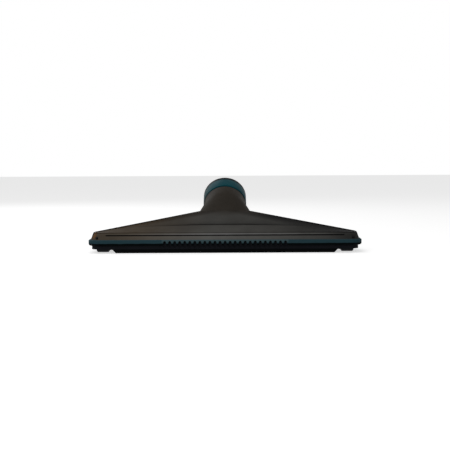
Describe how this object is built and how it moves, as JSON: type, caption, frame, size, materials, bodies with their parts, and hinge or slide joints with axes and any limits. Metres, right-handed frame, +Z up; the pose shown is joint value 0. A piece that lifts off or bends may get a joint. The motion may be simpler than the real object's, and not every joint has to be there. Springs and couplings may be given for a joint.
{
  "type": "vacuum floor tool",
  "caption": "Wide wet pick-up floor tool for a commercial vacuum cleaner: low tapered body, rubber blades, rollers, notched bumper and a tilted swivel cuff for a wand.",
  "frame": {"origin": "centre of the bounding box's bottom face, on the floor under the blades", "axes": "+X along the blades, towards the tool's right end seen from the front; +Y backwards, the way the neck leaves; +Z up"},
  "size_m": [0.361, 0.1612, 0.0968],
  "materials": {
    "cover_plastic": "fine moulded texture, dark warm grey",
    "housing_plastic": "fine moulded texture, black",
    "bumper_vinyl": "soft vinyl, dark blue-green",
    "seal_rubber": "smooth, black",
    "cuff_plastic": "satin, dark blue-green",
    "washer_nylon": "smooth, dark",
    "spring_steel": "bright",
    "insert_plastic": "moulded, black",
    "blade_rubber": "smooth, black",
    "stainless_strip": "brushed",
    "screw_steel": "zinc plated",
    "black_screw_steel": "blackened",
    "roller_nylon": "satin, dark blue-grey",
    "axle_steel": "ground"
  },
  "bodies": {
    "tool": {"top_cover": "cover_plastic", "lower_housing": "housing_plastic", "front_bumper": "bumper_vinyl", "cover_gasket": "seal_rubber", "cuff_washer": "washer_nylon", "blade_insert": "insert_plastic", "front_blade": "blade_rubber", "rear_blade": "blade_rubber", "front_blade_clamp": "stainless_strip", "rear_blade_clamp": "stainless_strip", "front_clamp_screws": "screw_steel", "rear_clamp_screws": "screw_steel", "insert_screws": "screw_steel", "rear_cover_screws": "screw_steel", "end_cover_screws": "black_screw_steel", "axle_front_left": "axle_steel", "axle_front_right": "axle_steel", "axle_rear_left": "axle_steel", "axle_rear_right": "axle_steel"},
    "cuff": {"swivel_cuff": "cuff_plastic", "wand_seal": "seal_rubber", "cuff_clip": "spring_steel"},
    "roller_front_left": {"roller_front_left": "roller_nylon"},
    "roller_front_right": {"roller_front_right": "roller_nylon"},
    "roller_rear_left": {"roller_rear_left": "roller_nylon"},
    "roller_rear_right": {"roller_rear_right": "roller_nylon"}
  },
  "joints": [
    {"name": "cuff_swivel", "type": "hinge", "parent": "tool", "child": "cuff", "pos_m": [0, 0.04156, 0.05776], "axis": [0, 0.9272, 0.3746], "continuous": true},
    {"name": "roll_front_left", "type": "hinge", "parent": "tool", "child": "roller_front_left", "pos_m": [-0.1622, -0.05262, 0.0074], "axis": [1, 0, 0], "continuous": true},
    {"name": "roll_front_right", "type": "hinge", "parent": "tool", "child": "roller_front_right", "pos_m": [0.1622, -0.05262, 0.0074], "axis": [1, 0, 0], "continuous": true},
    {"name": "roll_rear_left", "type": "hinge", "parent": "tool", "child": "roller_rear_left", "pos_m": [-0.1622, -0.01862, 0.0074], "axis": [1, 0, 0], "continuous": true},
    {"name": "roll_rear_right", "type": "hinge", "parent": "tool", "child": "roller_rear_right", "pos_m": [0.1622, -0.01862, 0.0074], "axis": [1, 0, 0], "continuous": true}
  ]
}
